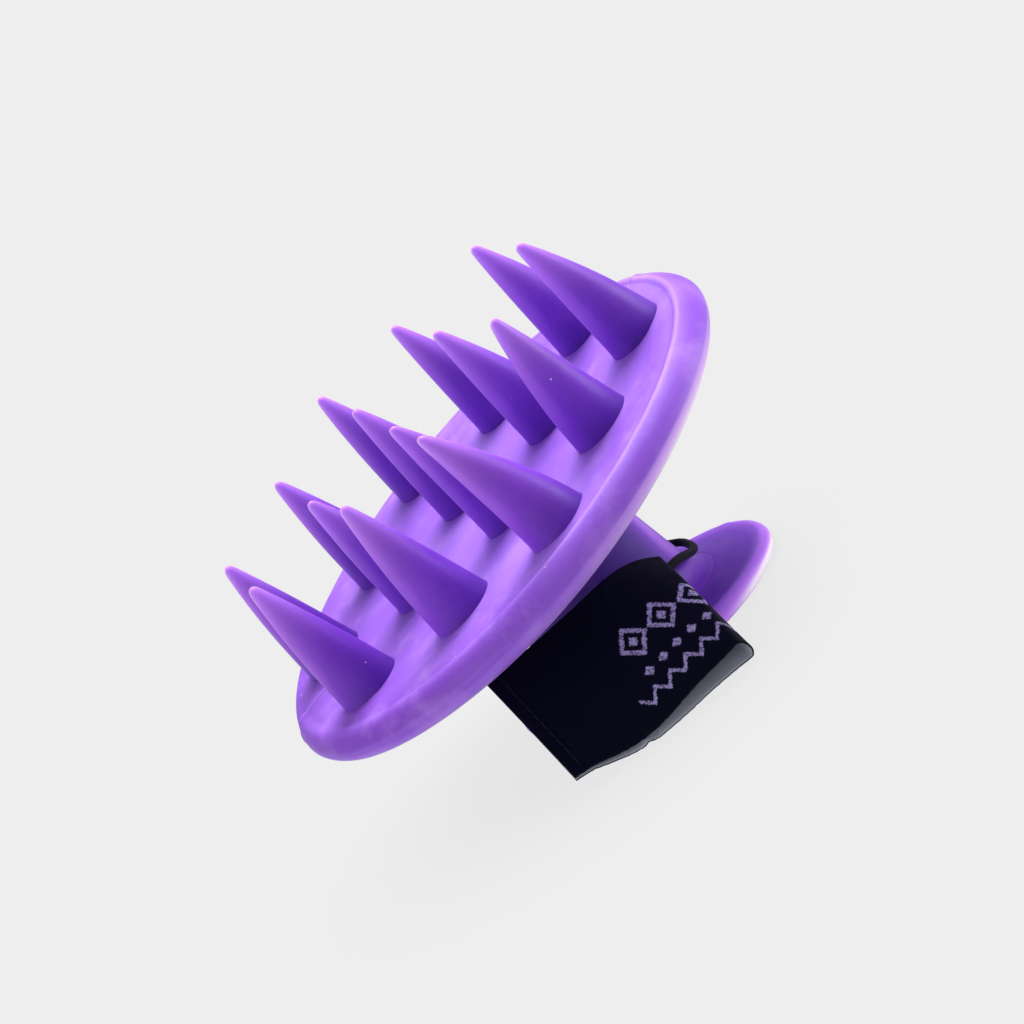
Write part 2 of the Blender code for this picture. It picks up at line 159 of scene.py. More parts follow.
# Label: its own X runs down its width, -Y along its length from the fold, Z out of its
# front face. The two selvages of the front face are given at even steps from the fold
# to the free end, and the label's whole depth under each of them.
LABEL_PLACE = Vector((25.0, 4.2, 15.3))
LABEL_TURN = (math.radians(-0.5), math.radians(37.9), math.radians(-5.6))
UPPER_SELVAGE = (
    (-1.48, -0.27, -2.75), (-2.14, -2.88, -1.04), (-2.24, -5.82, 0.16), (-2.06, -8.94, 0.76),
    (-1.85, -12.1, 0.92), (-1.82, -15.25, 0.73), (-2.14, -18.35, 0.2), (-2.69, -21.41, -0.62),
    (-3.32, -24.53, -1.39), (-3.81, -27.79, -1.92), (-4.11, -31.12, -2.24),
)
LOWER_SELVAGE = (
    (22.01, -0.73, 2.91), (22.05, -3.7, 2.2), (22.1, -6.7, 1.68), (22.23, -9.73, 1.27),
    (22.51, -12.75, 0.87), (22.73, -15.82, 0.57), (22.51, -18.99, 0.32), (21.8, -21.83, 0.07),
    (20.99, -24.58, 0.25), (20.35, -27.32, 0.67), (20.11, -30.13, 0.97),
)
LABEL_DEPTHS = (
    (3.1, 4.2, 0.0), (3.1, 3.7, 0.0), (2.9, 3.25, 0.0), (2.4, 2.8, 0.0), (2.0, 2.3, 0.0),
    (1.7, 1.8, 0.0), (1.4, 1.7, 0.0), (1.2, 1.6, 0.0), (1.0, 1.35, 0.0), (0.9, 1.0, 0.0),
    (0.85, 0.85, 0.0),
)
RIBBON_WIDTH = 24.4
RIBBON_THICKNESS = 0.26
RIBBON_COLUMNS = 60
RIBBON_STEPS = 70
LABEL_CROWN = 0.3
RIPPLE = 0.16
BACK_RIPPLE = 0.10
RAGGED = 0.10
FOLD_STARTS = (0.12, 0.6)
FOLD_REACH = 1.0
FOLD_STEPS = 12
SEAM_PLACE = 9.4
STITCHES = 11
SEAM_MARGIN = 0.04
STITCH_LINE = ((0.0, -0.08), (0.008, 0.12), (0.05, 0.12), (0.058, -0.08))
STITCH_RADIUS = 0.11

# The lower selvage: the front layer turns up along it, the back layer slips out of it and
# has one kink. Places are steps from the fold.
KINK_PLACE = 6.2
KINK_SPREAD = 0.22
KINK_RISE = 0.55
TURN_UP_PLACE = 3.8
TURN_UP_SPREAD = 2.4
TURN_UP_RISE = 0.4
TURN_UP_TUCK = 0.25
BACK_SLIP = 0.12

# The stop knot inside the fold, and the opening there that lets the cord in: a box in the
# label's frame that slopes with the ribbon.
BEAD_IN_LABEL = Vector((6.0, -2.9, -1.55))
SLIT_CENTRE = Vector((3.8, -3.0, -3.8))
SLIT_SIZE = (9.2, 5.6, 3.1)
SLIT_SLOPE = 0.2

# Colours, linear. Silicone: body, pale for bloom, painted highlights and light painted through slim tips,
# deep flow marks, dark for painted shade.
LIGHT_VIOLET = (
    (0.37, 0.165, 0.76, 1.0),
    (0.72, 0.44, 0.93, 1.0),
    (0.27, 0.095, 0.66, 1.0),
    (0.20, 0.05, 0.50, 1.0),
)
DEEP_VIOLET = (
    (0.205, 0.043, 0.57, 1.0),
    (0.58, 0.24, 0.95, 1.0),
    (0.155, 0.030, 0.46, 1.0),
    (0.035, 0.005, 0.18, 1.0),
)
# A near-white painted glow, on the plate's back edge and the knob's outer edge toward one side.
GLOW_COLOUR = (1.0, 0.90, 1.0, 1.0)
LINT_COLOUR = (0.8, 0.7, 0.95, 1.0)
LIGHT_BLOOM = 0.22
DEEP_BLOOM = 0.07
SATIN_NAVY = (0.0003, 0.0009, 0.0065, 1.0)
SATIN_LILAC = (0.40, 0.34, 0.60, 1.0)
SATIN_GREY = (0.26, 0.27, 0.32, 1.0)
YARN_BLACK = (0.0015, 0.002, 0.004, 1.0)
YARN_CROWN = (0.007, 0.008, 0.012, 1.0)
PAPER = (0.855, 0.855, 0.855, 1.0)
# The floor's colour in its painted contact shadow.
PAPER_PAINTED_SHADOW = (0.78, 0.78, 0.79, 1.0)
PAPER_LIGHT = (0.72, 0.72, 0.74, 1.0)
ROOM_LIGHT = (0.34, 0.34, 0.36, 1.0)
LAMP_AIM = Vector((0.004, -0.006, 0.03))

# Woven motif, in millimetres across the ribbon and along it from the free end.
LOZENGE_ROW = 11.6
LOZENGE_PITCH = 5.4
LOZENGE_SIZES = (2.6, 1.75, 0.8)
DOT_ROW = 16.9
DOT_PITCH = 2.7
DOT_SIZE = 0.85
ZIGZAG_ROW = 19.3
ZIGZAG_PITCH = 3.0
ZIGZAG_HEIGHT = 1.3
ZIGZAG_HALF = 0.42
CHAIN_START = 16.2
ZIGZAG_START = 13.5


def lean_turn():
    swing = Matrix.Rotation(LEAN_AZIMUTH, 4, "Z")
    return swing @ Matrix.Rotation(LEAN, 4, "Y") @ swing.transposed()


PLATE_FRAME = Matrix.Translation(PLATE_CENTRE * MM) @ lean_turn()
LABEL_FRAME = Matrix.Translation(LABEL_PLACE * MM) @ Euler(LABEL_TURN).to_matrix().to_4x4()


# ---------------------------------------------------------------- mesh helpers


def smooth_line(knots, pieces, closed=False):
    """Points on a Catmull-Rom curve through the knots, which are tuples or vectors."""
    knots = [Vector(k) for k in knots]
    if closed:
        ends = [knots[-1]] + knots + knots[:2]
    else:
        ends = [knots[0] * 2 - knots[1]] + knots + [knots[-1] * 2 - knots[-2]]
    line = []
    for a, b, c, d in zip(ends, ends[1:], ends[2:], ends[3:]):
        for step in range(pieces):
            t = step / pieces
            bend = (2 * a - 5 * b + 4 * c - d) * t ** 2 + (3 * b - a - 3 * c + d) * t ** 3
            line.append((2 * b + (c - a) * t + bend) / 2)
    return line if closed else line + [knots[-1]]


def add_piece(name, mesh, matrix, materials, subdivision=0):
    data = bpy.data.meshes.new(name)
    mesh.normal_update()
    mesh.to_mesh(data)
    mesh.free()
    for polygon in data.polygons:
        polygon.use_smooth = True
    obj = bpy.data.objects.new(name, data)
    bpy.context.scene.collection.objects.link(obj)
    obj.matrix_world = matrix
    for material in materials:
        data.materials.append(material)
    if subdivision:
        smooth = obj.modifiers.new("smooth", "SUBSURF")
        smooth.levels = subdivision
        smooth.render_levels = subdivision
    return obj


def skin_of_rings(mesh, rings):
    """Quads between rings of points in millimetres. A ring of one point is a pole."""
    rows = []
    for ring in rings:
        rows.append([mesh.verts.new(Vector(p) * MM) for p in ring])
    for a, b in zip(rows, rows[1:]):
        count = max(len(a), len(b))
        for i in range(count):
            j = (i + 1) % count
            if len(a) == 1:
                mesh.faces.new((a[0], b[i], b[j]))
            elif len(b) == 1:
                mesh.faces.new((a[i], b[0], a[j]))
            else:
                mesh.faces.new((a[i], b[i], b[j], a[j]))


def turned_rings(line, angles, shape=None):
    """Rings of points for a turned skin along (radius, height) points."""
    rings = []
    for r, z in line:
        if r < 0.001:
            rings.append([(0.0, 0.0, z)])
            continue
        ring = [(r * math.cos(a), r * math.sin(a), z) for a in angles]
        rings.append([shape(p) for p in ring] if shape else ring)
    return rings


def bell(distance, spread):
    return math.exp(-(distance / spread) ** 2)


def ramp(value, start, length):
    """0 up to start, 1 from start plus length, even in between."""
    return min(1.0, max(0.0, (value - start) / length))


def even_angles(count):
    return [math.tau * step / count for step in range(count)]


def set_numbers(obj, name, numbers):
    """One number for each vertex, which a material can read by this name."""
    attribute = obj.data.attributes.new(name, "FLOAT", "POINT")
    attribute.data.foreach_set("value", numbers)


def claim(piece, slot, body, *nodes):
    """The nodes a piece stands for, its material slot, which is not used, and the body it moves with."""
    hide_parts(*nodes)
    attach(piece, body)


# ---------------------------------------------------------------- node helpers


class Nodes:
    """A material's node tree, with short calls for the few kinds of node used here."""

    def __init__(self, name):
        self.material = bpy.data.materials.new(name)
        self.material.use_nodes = True
        self.tree = self.material.node_tree
        self.shader = self.tree.nodes["Principled BSDF"]

    def add(self, kind, **settings):
        node = self.tree.nodes.new(kind)
        for key, value in settings.items():
            setattr(node, key, value)
        return node

    def link(self, source, target):
        self.tree.links.new(source, target)
        return target

    def place(self, scale=(1.0, 1.0, 1.0)):
        """The piece's own coordinates, stretched."""
        coordinates = self.add("ShaderNodeTexCoord")
        mapping = self.add("ShaderNodeMapping")
        mapping.inputs["Scale"].default_value = scale
        self.link(coordinates.outputs["Object"], mapping.inputs["Vector"])
        return mapping.outputs["Vector"]

    def noise(self, scale, detail=3.0, roughness=0.5, place=None):
        node = self.add("ShaderNodeTexNoise")
        node.inputs["Scale"].default_value = scale
        node.inputs["Detail"].default_value = detail
        node.inputs["Roughness"].default_value = roughness
        self.link(place or self.place(), node.inputs["Vector"])
        return node.outputs["Fac"]

    def number(self, name):
        return self.add("ShaderNodeAttribute", attribute_name=name).outputs["Fac"]

    def math(self, operation, a, b=None):
        node = self.add("ShaderNodeMath", operation=operation)
        for socket, value in zip(node.inputs, (a, b)):
            if value is None:
                continue
            if isinstance(value, (int, float)):
                socket.default_value = value
            else:
                self.link(value, socket)
        return node.outputs["Value"]

    def between(self, value, low, high, out_low=0.0, out_high=1.0):
        """A value's place from low to high, mapped to the span from out_low to out_high."""
        node = self.add("ShaderNodeMapRange", clamp=True)
        node.inputs["From Min"].default_value = low
        node.inputs["From Max"].default_value = high
        node.inputs["To Min"].default_value = out_low
        node.inputs["To Max"].default_value = out_high
        self.link(value, node.inputs["Value"])
        return node.outputs["Result"]

    def mix(self, factor, a, b):
        """Colour a at factor 0, colour b at factor 1."""
        node = self.add("ShaderNodeMix", data_type="RGBA")
        sockets = (node.inputs["Factor"], node.inputs[6], node.inputs[7])
        for socket, value in zip(sockets, (factor, a, b)):
            if isinstance(value, (int, float, tuple)):
                socket.default_value = value
            else:
                self.link(value, socket)
        return node.outputs[2]

    def bump(self, height, strength, distance, under=None):
        node = self.add("ShaderNodeBump")
        node.inputs["Strength"].default_value = strength
        node.inputs["Distance"].default_value = distance
        self.link(height, node.inputs["Height"])
        if under is not None:
            self.link(under, node.inputs["Normal"])
        return node.outputs["Normal"]

    def finish(self, colour, roughness, normal):
        self.link(colour, self.shader.inputs["Base Color"])
        self.link(roughness, self.shader.inputs["Roughness"])
        self.link(normal, self.shader.inputs["Normal"])
        return self.material


# ---------------------------------------------------------------- materials


def silicone(name, colours, bloomed):
    """Satin silicone: flow marks, bloom, lint and a fine skin, with painted light and shade.

    A number on each vertex goes from -1, painted shade, through 0, the body's colour, and 1,
    pale: painted highlights and light painted through slim tips, to 2, a painted near-white glow.
    """
    body, pale, deep, dark = colours
    nodes = Nodes(name)
    streaks = nodes.noise(1.0, 4.0, 0.55, nodes.place((60.0, 18.0, 60.0)))
    clouds = nodes.noise(45.0, 2.0, 0.5)
    mottle = nodes.math("MULTIPLY", nodes.math("ADD", streaks, clouds), 0.5)
    colour = nodes.mix(nodes.between(mottle, 0.36, 0.64), deep, body)
    tip = nodes.number("painted_light_and_shade")
    # Pale where the vertex number asks: painted highlights, and light painted through slim tips.
    colour = nodes.mix(nodes.between(tip, 0.0, 1.0, 0.0, 0.9), colour, pale)
    # Near-white painted glow.
    colour = nodes.mix(nodes.between(tip, 1.0, 2.0, 0.0, 0.9), colour, GLOW_COLOUR)
    # Dark where the vertex number asks: painted shade.
    colour = nodes.mix(nodes.between(tip, -1.0, 0.0, 0.92, 0.0), colour, dark)
    bloom = nodes.noise(110.0, 5.0, 0.65)
    colour = nodes.mix(nodes.between(bloom, 0.50, 0.72, 0.0, bloomed), colour, pale)
    lint = nodes.add("ShaderNodeTexVoronoi", feature="F1")
    lint.inputs["Scale"].default_value = 260.0
    nodes.link(nodes.place(), lint.inputs["Vector"])
    near = nodes.math("LESS_THAN", lint.outputs["Distance"], 0.045)
    split = nodes.add("ShaderNodeSeparateColor")
    nodes.link(lint.outputs["Color"], split.inputs["Color"])
    chosen = nodes.math("GREATER_THAN", split.outputs["Red"], 0.86)
    speck = nodes.math("MULTIPLY", near, chosen)
    colour = nodes.mix(nodes.math("MULTIPLY", speck, 0.6), colour, LINT_COLOUR)
    skin = nodes.noise(2600.0, 2.0, 0.6)
    normal = nodes.bump(skin, 0.06, 0.0001)
    normal = nodes.bump(streaks, 0.25, 0.0003, normal)
    roughness = nodes.between(nodes.noise(220.0, 3.0), 0.3, 0.7, 0.40, 0.56)
    shader = nodes.shader.inputs
    shader["Subsurface Weight"].default_value = 0.35
    shader["Subsurface Radius"].default_value = (0.7, 0.35, 1.0)
    shader["Subsurface Scale"].default_value = 0.0022
    shader["Specular IOR Level"].default_value = 0.32
    shader["Sheen Weight"].default_value = 0.04
    shader["Sheen Roughness"].default_value = 0.35
    shader["Sheen Tint"].default_value = (0.85, 0.72, 1.0, 1.0)
    shader["IOR"].default_value = 1.42
    return nodes.finish(colour, roughness, normal)


def motif(nodes, across, along):
    """Plain woven bands: a chain of lozenges, a row of small squares and a zigzag."""

    def repeat(pitch):
        wave = nodes.math("FRACT", nodes.math("DIVIDE", along, pitch))
        return nodes.math("MULTIPLY", nodes.math("ABSOLUTE", nodes.math("SUBTRACT", wave, 0.5)), pitch)

    def away(centre):
        return nodes.math("ABSOLUTE", nodes.math("SUBTRACT", across, centre))

    def after(start):
        return nodes.math("GREATER_THAN", along, start)

    lozenge = nodes.math("ADD", nodes.math("MULTIPLY", away(LOZENGE_ROW), 0.8), repeat(LOZENGE_PITCH))
    outer, inner, core = [nodes.math("LESS_THAN", lozenge, size) for size in LOZENGE_SIZES]
    chain = nodes.math("ADD", nodes.math("SUBTRACT", outer, inner), core)
    chain = nodes.math("MULTIPLY", chain, after(CHAIN_START))
    dots = nodes.math("LESS_THAN", nodes.math("ADD", away(DOT_ROW), repeat(DOT_PITCH)), DOT_SIZE)
    dots = nodes.math("MULTIPLY", dots, after(CHAIN_START))
    rise = nodes.math("MULTIPLY", repeat(ZIGZAG_PITCH), ZIGZAG_HEIGHT)
    crest = nodes.math("ADD", rise, ZIGZAG_ROW)
    steps = nodes.math("ABSOLUTE", nodes.math("SUBTRACT", across, crest))
    zigzag = nodes.math("LESS_THAN", steps, ZIGZAG_HALF)
    zigzag = nodes.math("MULTIPLY", zigzag, after(ZIGZAG_START))
    total = nodes.math("ADD", nodes.math("ADD", chain, dots), zigzag)
    return nodes.math("MINIMUM", total, 1.0)


def woven_satin(name, ground, thread=None):
    """Satin ribbon: warp floats along it, weft ribs across, a raised woven motif."""
    nodes = Nodes(name)
    across = nodes.number("across")
    along = nodes.number("along")
    # The motif's edges step with the threads.
    wobble = nodes.math("MULTIPLY", nodes.math("SUBTRACT", nodes.noise(1400.0, 1.0), 0.5), 0.35)
    step_across = nodes.math("ADD", nodes.math("SNAP", across, 0.17), wobble)
    step_along = nodes.math("ADD", nodes.math("SNAP", along, 0.22), wobble)
    warp = nodes.math("SINE", nodes.math("MULTIPLY", across, math.tau / 0.24))
    weft = nodes.math("SINE", nodes.math("MULTIPLY", along, math.tau / 0.34))
    weave = nodes.math("ADD", nodes.math("MULTIPLY", warp, 0.6), nodes.math("MULTIPLY", weft, 0.5))
    shade = nodes.between(weave, -1.1, 1.1, 0.0, 1.0)
    bright = tuple(min(1.0, c * 1.7 + 0.0005) for c in ground[:3]) + (1.0,)
    colour = nodes.mix(nodes.math("MULTIPLY", shade, 0.7), ground, bright)
    colour = nodes.mix(nodes.between(nodes.noise(90.0, 3.0), 0.45, 0.75, 0.0, 0.5), colour, bright)
    height = nodes.between(weave, -1.1, 1.1)
    if thread is not None:
        mask = motif(nodes, step_across, step_along)
        fleck = nodes.between(nodes.noise(2300.0, 2.0), 0.38, 0.55, 0.35, 1.0)
        worn = nodes.math("MULTIPLY", mask, fleck)
        colour = nodes.mix(worn, colour, thread)
        height = nodes.math("ADD", height, nodes.math("MULTIPLY", mask, 1.2))
    normal = nodes.bump(height, 0.5, 0.00012)
    normal = nodes.bump(nodes.noise(160.0, 3.0), 0.35, 0.0008, normal)
    roughness = nodes.between(nodes.noise(300.0, 2.0), 0.3, 0.7, 0.55, 0.75)
    shader = nodes.shader.inputs
    shader["Specular IOR Level"].default_value = 0.08
    return nodes.finish(colour, roughness, normal)


def braided(name, ground, bright):
    """Matt braided yarn, with its crowns a little paler and fuzzy."""
    nodes = Nodes(name)
    crown = nodes.number("crown")
    fuzz = nodes.noise(3800.0, 3.0, 0.7)
    worn = nodes.math("MULTIPLY", crown, nodes.between(fuzz, 0.3, 0.7, 0.3, 1.0))
    colour = nodes.mix(worn, ground, bright)
    normal = nodes.bump(fuzz, 0.5, 0.00012)
    roughness = nodes.between(fuzz, 0.3, 0.7, 0.7, 0.9)
    shader = nodes.shader.inputs
    shader["Sheen Weight"].default_value = 0.04
    shader["Specular IOR Level"].default_value = 0.12
    return nodes.finish(colour, roughness, normal)


# ---------------------------------------------------------------- silicone pieces


def face_height(radius):
    rise = STEP_RISE * min(1.0, max(0.0, (radius - STEP_RADIUS) / 0.5 + 0.5))
    return -FACE_DISH * (1.0 - (radius / FACE_LEVEL_RADIUS) ** 2) + rise


def rim_angles():
    """Angles round the plate, closest together where the parting ridge meets the rim."""
    shift = math.degrees(math.asin(-RIDGE_PLACE / RIM_RADIUS))
    narrow = 1.0 - shift / 90.0
    wide = 1.0 + shift / 90.0
    quarter = [0.0, 0.3, 0.6, 0.95, 1.25, 1.5, 1.75, 2.1, 2.6, 3.4, 4.6, 6.5, 9.0, 12.0, 16.0]
    quarter += [16.0 + 3.7 * k for k in range(1, 20)] + [90.0]
    angles = []
    for middle, before, after in ((90.0 + shift, wide, narrow), (270.0 - shift, narrow, wide)):
        angles += [middle - step * before for step in reversed(quarter[1:-1])]
        angles += [middle + step * after for step in quarter]
    return [math.radians(angle) for angle in angles]


def lip_share(x, y):
    """How far the face's lip stands up at a place on it: fully toward LIP_AZIMUTH."""
    return 0.5 + 0.5 * math.cos(math.atan2(y, x) - LIP_AZIMUTH)


def plate_shape(point):
    """The faint parting ridge by the rim, its nib, and the lip fading round the face."""
    x, y, z = point
    radius = math.hypot(x, y)
    ridge = bell(x - RIDGE_PLACE, RIDGE_WIDTH) * ramp(radius, RIDGE_START, 3.0)
    on_face = 1.0 if z > -1.7 and radius < 43.5 else 0.0
    lift = RIDGE_HEIGHT * ridge * on_face
    sag = FACE_SAG * noise.noise(Vector((x * 0.035, y * 0.035, 1.5)))
    if z > -1.0:
        sag -= LIP_LOSS * bell(radius - LIP_RADIUS, 0.9) * (1.0 - lip_share(x, y))
    nib = NIB_HEIGHT * bell(x - RIDGE_PLACE, NIB_WIDTH) if radius > 44.0 else 0.0
    grow = 1.0 + nib / radius
    return (x * grow, y * grow, z + lift + sag)


def plate_painted_light(point):
    """Painted light and shade on the plate at a place: see silicone()."""
    x, y, z = point
    radius = math.hypot(x, y)
    depth = -z
    turn = math.degrees(math.atan2(y, x)) - GLOW_AZIMUTH
    # Painted shade: the face darker toward -Y.
    low = min(0.6, max(0.0, (-y - 5.0) / 45.0)) * (depth < 2.0)
    # Painted highlight along the lip's crest.
    crest = 0.35 * lip_share(x, y) * bell(radius - LIP_RADIUS, 0.45) * (depth < 0.0)
    # Painted shade on the rim's side band.
    side = 0.5 * ramp(radius, 42.6, 1.2) * (depth < 3.0)
    # Painted near-white glow on the back edge, strongest toward GLOW_AZIMUTH.
    glow = min(1.9, max(0.0, (depth - 1.9) / 1.5)) * (radius > 40.0) * bell(turn, GLOW_SPREAD)
    # Painted highlight along the parting ridge near the rim, at its -Y end.
    on_face = radius > RIDGE_START and depth < 1.7 and y < 0.0
    ridge = 0.7 * bell(x - RIDGE_PLACE, 0.5) * on_face
    return crest - side - low + glow + ridge


def make_plate(material):
    face = [(radius, face_height(radius)) for radius in FACE_RADII]
    knots = face + list(LIP_PROFILE + RIM_PROFILE + BACK_PROFILE)
    line = smooth_line([Vector((r, z, 0.0)) for r, z in knots], 2)
    mesh = bmesh.new()
    profile = [(max(p.x, 0.0), p.y) for p in line]
    skin_of_rings(mesh, turned_rings(profile, rim_angles(), plate_shape))
    plate = add_piece("comb_plate", mesh, PLATE_FRAME, [material], 1)
    set_numbers(plate, "painted_light_and_shade", [plate_painted_light(vertex.co / MM) for vertex in plate.data.vertices])
    return plate


def tooth_line():
    """(share of the height, radius) from the foot under the face up to the tip."""
    line = [(-0.03, TOOTH_RADIUS + 0.05), (0.0, TOOTH_RADIUS + 0.12), (0.012, TOOTH_RADIUS)]
    tip_start = 1.0 - 0.85 * TIP_RADIUS / TOOTH_HEIGHT
    for step in range(1, 13):
        share = 0.012 + (tip_start - 0.012) * step / 12
        cone = TOOTH_RADIUS + (TIP_RADIUS - TOOTH_RADIUS) * share
        line.append((share, cone + TOOTH_RADIUS * TOOTH_BULGE * 4.0 * share * (1.0 - share)))
    for degrees in (25.0, 50.0, 72.0):
        angle = math.radians(degrees)
        share = tip_start + (1.0 - tip_start) * math.sin(angle)
        line.append((share, TIP_RADIUS * math.cos(angle)))
    return line + [(1.0, 0.0)]


def tooth_painted_light(point, foot, offset):
    """Painted light on a tooth: a paler tip, with light painted through the slim silicone, a painted
    highlight on the side facing -Y and painted shade at the foot.
    """
    share = (point.z - foot.z) / TOOTH_HEIGHT
    # Painted shade at the foot.
    foot_shade = 0.5 * max(0.0, 1.0 - share / 0.38)
    bend = max(share, 0.0) ** TOOTH_BEND
    out_x = point.x - foot.x - offset[0] * bend
    out_y = point.y - foot.y - offset[1] * bend
    facing = -out_y / max(0.1, math.hypot(out_x, out_y))
    # Painted highlight on the side that faces -Y.
    painted_flank_highlight = 0.45 * max(0.0, (facing - 0.55) / 0.45)
    # The tip paler: light painted through the slim silicone.
    return 0.95 * max(0.0, (share - 0.35) / 0.65) ** 1.7 + painted_flank_highlight - foot_shade


def make_tooth(row, index, x, y, material):
    """One tooth, a little full, bent so that its tip stands off its foot."""
    slope = 2.0 * FACE_DISH / FACE_LEVEL_RADIUS ** 2
    off_x, off_y = TIP_OFFSETS[row][index]
    foot = Vector((x, y, face_height(math.hypot(x, y))))
    seed = Vector((x * 0.37, y * 0.41, 7.0))
    rings = []
    for share, radius in tooth_line():
        bend = max(share, 0.0) ** TOOTH_BEND
        centre = foot + Vector((off_x * bend, off_y * bend, TOOTH_HEIGHT * share))
        if radius == 0.0:
            rings.append([centre])
            continue
        ring = []
        for angle in even_angles(40):
            side = Vector((math.cos(angle), math.sin(angle), 0.0))
            ripple = 1.0 + 0.012 * noise.noise(seed + side * 0.9 + Vector((0.0, 0.0, share * 2.0)))
            level = slope * (x * side.x + y * side.y) * radius * max(0.0, 1.0 - 4.0 * share)
            ring.append(centre + side * radius * ripple + Vector((0.0, 0.0, level)))
        rings.append(ring)
    mesh = bmesh.new()
    skin_of_rings(mesh, rings)
    tooth = add_piece(f"comb_tooth_{row + 1}_{index + 1}", mesh, PLATE_FRAME, [material], 1)
    offset = (off_x, off_y)
    painted_light_and_shade = [tooth_painted_light(vertex.co / MM, foot, offset) for vertex in tooth.data.vertices]
    set_numbers(tooth, "painted_light_and_shade", painted_light_and_shade)
    return tooth


def make_teeth(material):
    middle = (len(TIP_OFFSETS) - 1) / 2
    for row, offsets in enumerate(TIP_OFFSETS):
        for index in range(len(offsets)):
            x = (index - (len(offsets) - 1) / 2) * TOOTH_PITCH
            y = (middle - row) * ROW_PITCH
            tooth = make_tooth(row, index, x, y, material)
            claim(tooth, "silicone_deep", "comb", f"tooth_{row + 1}_{index + 1}")


def neck_ring(centre, normal, radius):
    side = normal.orthogonal().normalized()
    other = normal.cross(side)
    return [centre + (side * math.cos(a) + other * math.sin(a)) * radius for a in even_angles(96)]


def neck_painted_light(point):
    """Painted light on the neck: a painted highlight down one side, and painted shade round the rest of
    it.
    """
    turn = math.degrees(math.atan2(point.y - RING_CENTRE.y, point.x - RING_CENTRE.x))
    # Painted highlight down one side.
    painted_highlight = bell(turn - NECK_HIGHLIGHT_AZIMUTH, NECK_HIGHLIGHT_SPREAD)
    # Painted shade round the neck, and how strong the painted light is: none down at the knob's hub.
    shade = 0.95 * ramp(point.z, HUB_HEIGHT, 7.0)
    return shade * (1.6 * painted_highlight - 1.0)


def make_neck(material):
    """The neck, flared where it meets the plate's boss and the knob's hub."""
    axis = PLATE_FRAME.to_3x3() @ Vector((0.0, 0.0, 1.0))
    top = PLATE_CENTRE + axis * (BOSS_FACE - NECK_OVERLAP)
    foot = top + axis * ((HUB_HEIGHT - 0.35 - top.z) / axis.z)
    up = Vector((0.0, 0.0, 1.0))
    rings = [[top]]
    for share, radius in NECK_STEPS:
        normal = axis.lerp(up, share ** 2).normalized()
        rings.append(neck_ring(top.lerp(foot, share), normal, radius))
    for drop, radius in NECK_FOOT:
        rings.append(neck_ring(foot - up * drop, normal, radius))
    rings.append([foot - up])
    mesh = bmesh.new()
    skin_of_rings(mesh, rings)
    bmesh.ops.recalc_face_normals(mesh, faces=mesh.faces)
    neck = add_piece("comb_neck", mesh, Matrix.Identity(4), [material], 1)
    set_numbers(neck, "painted_light_and_shade", [neck_painted_light(vertex.co / MM) for vertex in neck.data.vertices])
    return neck


def knob_shape(point):
    """A mould pip on the lip and a slight sag of the soft disc."""
    x, y, z = point
    pip = Vector((x, y, 0.0)) - PIP_PLACE
    lift = PIP_HEIGHT * bell(pip.length, PIP_RADIUS) if z > 1.5 else 0.0
    wave = KNOB_WAVE * noise.noise(Vector((x * 0.06, y * 0.06, 9.0))) if z > 1.0 else 0.0
    return (x, y, z + lift + wave)


def knob_painted_light(point):
    """Painted light on the knob: a painted highlight on the lip, a painted near-white glow on its outer
    edge toward one side, and painted shade in the dish inside it.
    """
    x, y, z = point
    radius = math.hypot(x, y)
    turn = math.degrees(math.atan2(y, x)) - KNOB_GLOW_AZIMUTH
    # Painted highlight on the lip.
    lip = 0.6 * ramp(radius, 21.3, 1.5)
    # Painted near-white glow on the outer edge toward KNOB_GLOW_AZIMUTH.
    edge = 2.2 * bell(turn, KNOB_GLOW_SPREAD) * min(1.0, max(0.0, 2.1 - z)) * (radius > 23.7)
    # Painted shade in the dish.
    painted_dish_shade = 0.4 * max(0.0, 1.0 - abs(radius - 18.5) / 2.8) * (z > 2.0)
    return lip + edge - painted_dish_shade


def make_knob(material):
    line = smooth_line([Vector((r, z, 0.0)) for r, z in HUB_PROFILE + KNOB_LIP + KNOB_FOOT], 2)
    mesh = bmesh.new()
    profile = [(max(p.x, 0.0), max(p.y, 0.0)) for p in line]
    skin_of_rings(mesh, turned_rings(profile, even_angles(120), knob_shape))
    knob = add_piece("comb_knob", mesh, Matrix.Identity(4), [material], 1)
    set_numbers(knob, "painted_light_and_shade", [knob_painted_light(vertex.co / MM) for vertex in knob.data.vertices])
    return knob


# ---------------------------------------------------------------- cord


def ring_route():
    points = []
    for degrees, radius, height in RING_KNOTS:
        angle = math.radians(degrees)
        points.append(RING_CENTRE + Vector((radius * math.cos(angle), radius * math.sin(angle), height)))
    return points


def cord_route():
    """From the bead in the label, down the lead, once round the neck and back."""
    bead = LABEL_FRAME @ (BEAD_IN_LABEL * MM) / MM
    up = LABEL_FRAME.to_3x3() @ Vector((0.0, 0.0, 1.0))
    lead = [bead - up * 0.9, bead - up * 2.4 + Vector((-0.5, -0.1, 0.0)), LEAD_MIDDLE, LEAD_END]
    return lead + ring_route()


def sweep_frames(route):
    """A place, a side and an up direction at every point, carried along without twist."""
    frames = []
    up = Vector((0.0, 0.0, 1.0))
    for index, place in enumerate(route):
        ahead = route[min(index + 1, len(route) - 1)] - route[max(index - 1, 0)]
        ahead.normalize()
        side = ahead.cross(up).normalized()
        up = side.cross(ahead).normalized()
        frames.append((place, side, up))
    return frames


